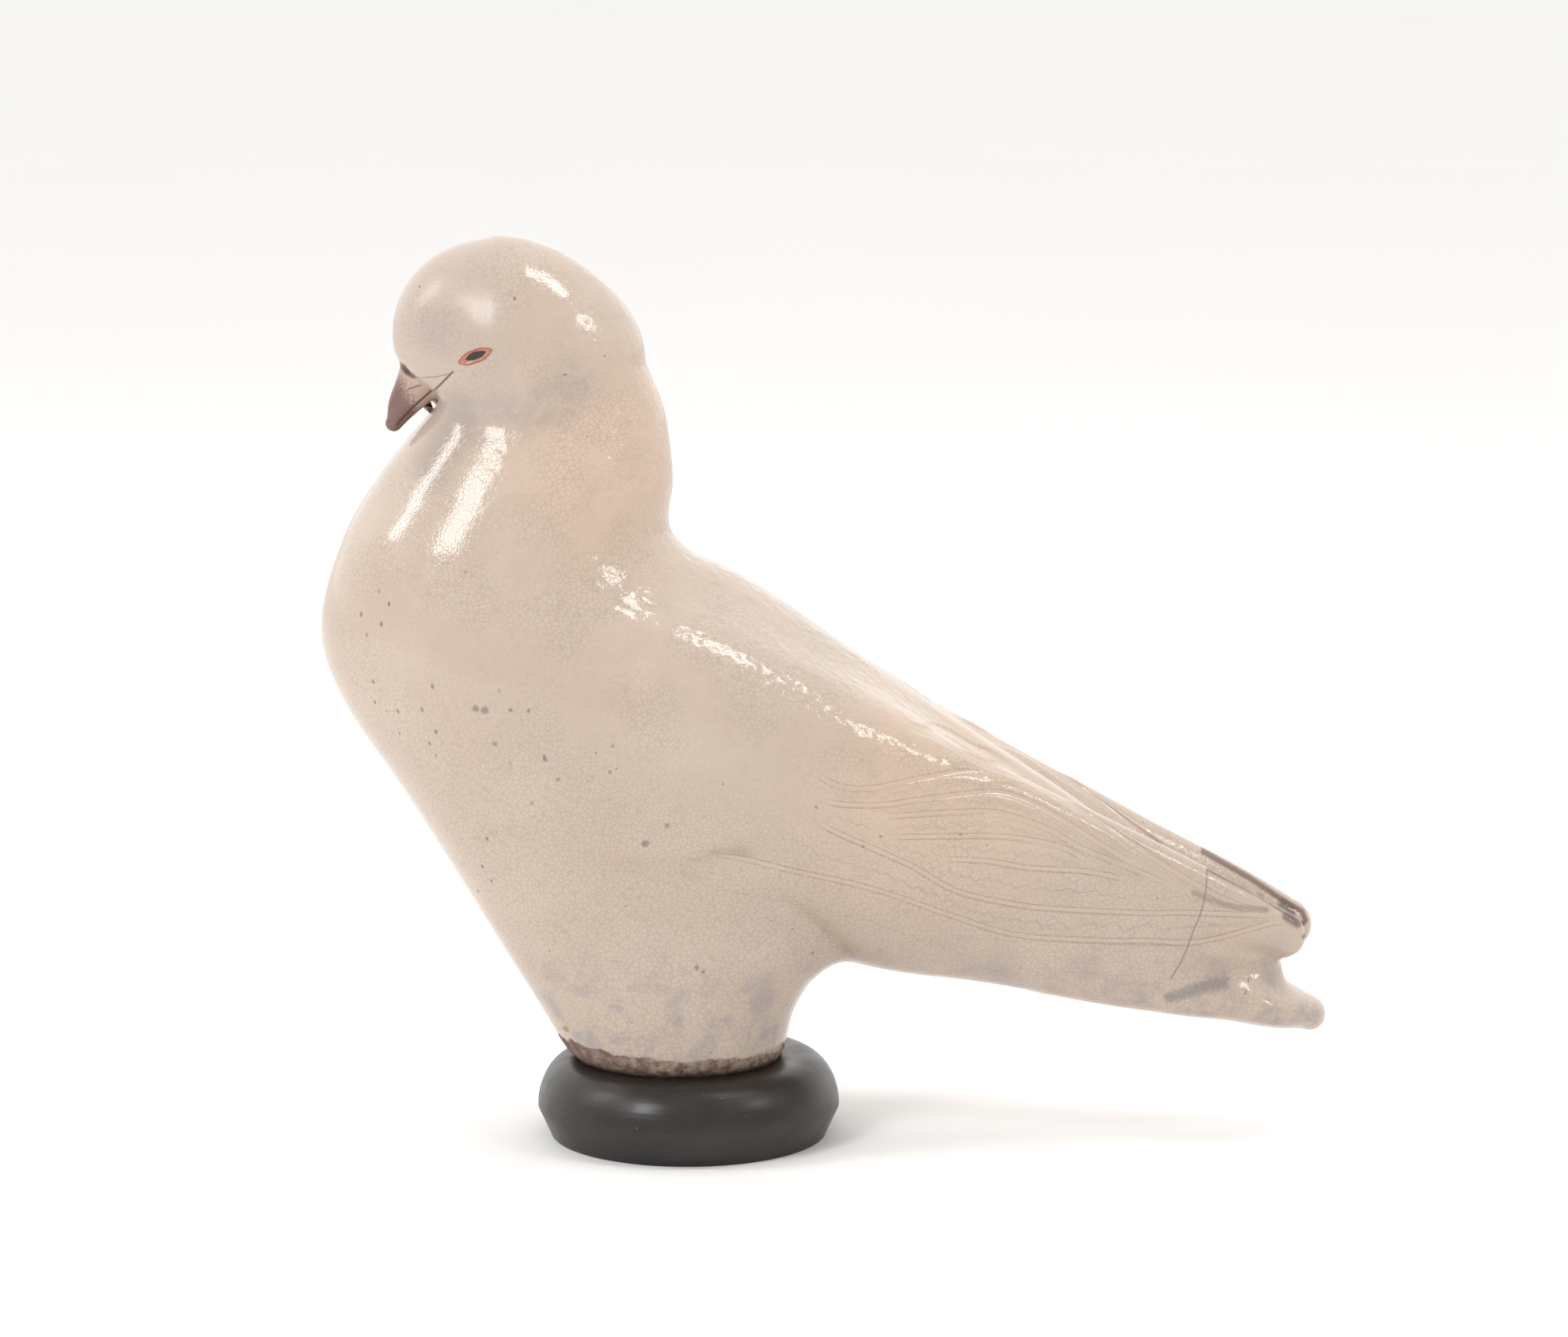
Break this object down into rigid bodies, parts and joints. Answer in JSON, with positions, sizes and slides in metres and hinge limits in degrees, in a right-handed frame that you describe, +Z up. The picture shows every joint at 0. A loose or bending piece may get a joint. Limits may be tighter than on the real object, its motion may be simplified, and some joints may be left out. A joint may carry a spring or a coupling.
{
  "type": "dove sculpture",
  "caption": "Glazed ceramic dove standing on its closed foot, wings folded and head bowed, on a low turned round wooden plinth.",
  "frame": {"origin": "centre of the plinth's round underside, on the plane that the sculpture stands on", "axes": "+Z up, +X toward the tail so that the dove faces -X, +Y toward its right wing, the side away from the picture's camera"},
  "size_m": [0.3366, 0.1168, 0.3041],
  "materials": {
    "glaze": "glossy pinkish cream glaze with fine crackle and a few brown spots",
    "plinth_paint": "turned wood, painted satin black brown"
  },
  "bodies": {
    "root": {"dove": "glaze", "plinth": "plinth_paint"}
  },
  "joints": []
}
